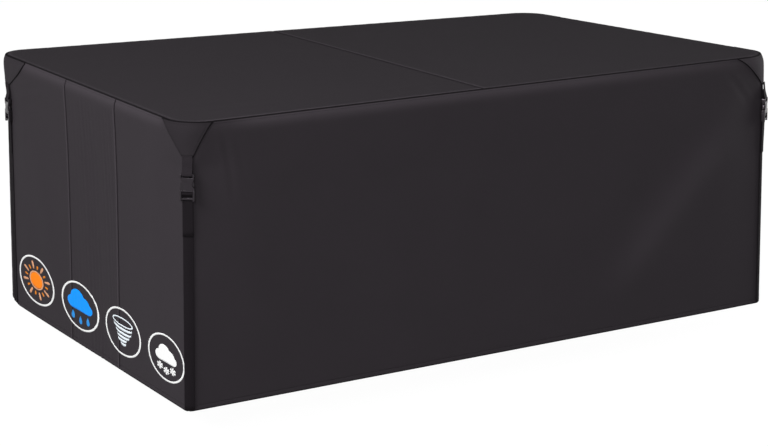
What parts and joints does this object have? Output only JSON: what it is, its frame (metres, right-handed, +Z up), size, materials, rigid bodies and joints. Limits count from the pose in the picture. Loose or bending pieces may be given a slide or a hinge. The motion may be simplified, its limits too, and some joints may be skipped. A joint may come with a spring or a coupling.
{
  "type": "fitted patio furniture cover",
  "caption": "Box-shaped fitted cloth cover for a patio table and chairs, open underneath, with corner patches, buckles and webbing straps.",
  "frame": {"origin": "middle of the underside of the cover's top, where the furniture carries it", "axes": "+X along the long sides towards the right end, +Y towards the back long side, +Z up"},
  "size_m": [1.8129, 1.1518, 0.7079],
  "materials": {
    "cover_cloth": "matte coated polyester",
    "patch_cloth": "matte coated polyester, doubled",
    "webbing": "flat woven webbing",
    "buckle_plastic": "satin moulded plastic"
  },
  "bodies": {
    "root": {"top_left": "cover_cloth", "top_right": "cover_cloth", "wall_front": "cover_cloth", "wall_back": "cover_cloth", "wall_left_a": "cover_cloth", "wall_left_b": "cover_cloth", "wall_left_c": "cover_cloth", "wall_right_a": "cover_cloth", "wall_right_b": "cover_cloth", "wall_right_c": "cover_cloth", "patch_front_right": "patch_cloth", "loop_front_right": "webbing", "strap_front_right": "webbing", "socket_front_right": "buckle_plastic", "plug_front_right": "buckle_plastic", "patch_back_right": "patch_cloth", "loop_back_right": "webbing", "strap_back_right": "webbing", "socket_back_right": "buckle_plastic", "plug_back_right": "buckle_plastic", "patch_back_left": "patch_cloth", "loop_back_left": "webbing", "strap_back_left": "webbing", "socket_back_left": "buckle_plastic", "plug_back_left": "buckle_plastic", "patch_front_left": "patch_cloth", "loop_front_left": "webbing", "strap_front_left": "webbing", "socket_front_left": "buckle_plastic", "plug_front_left": "buckle_plastic"}
  },
  "joints": []
}
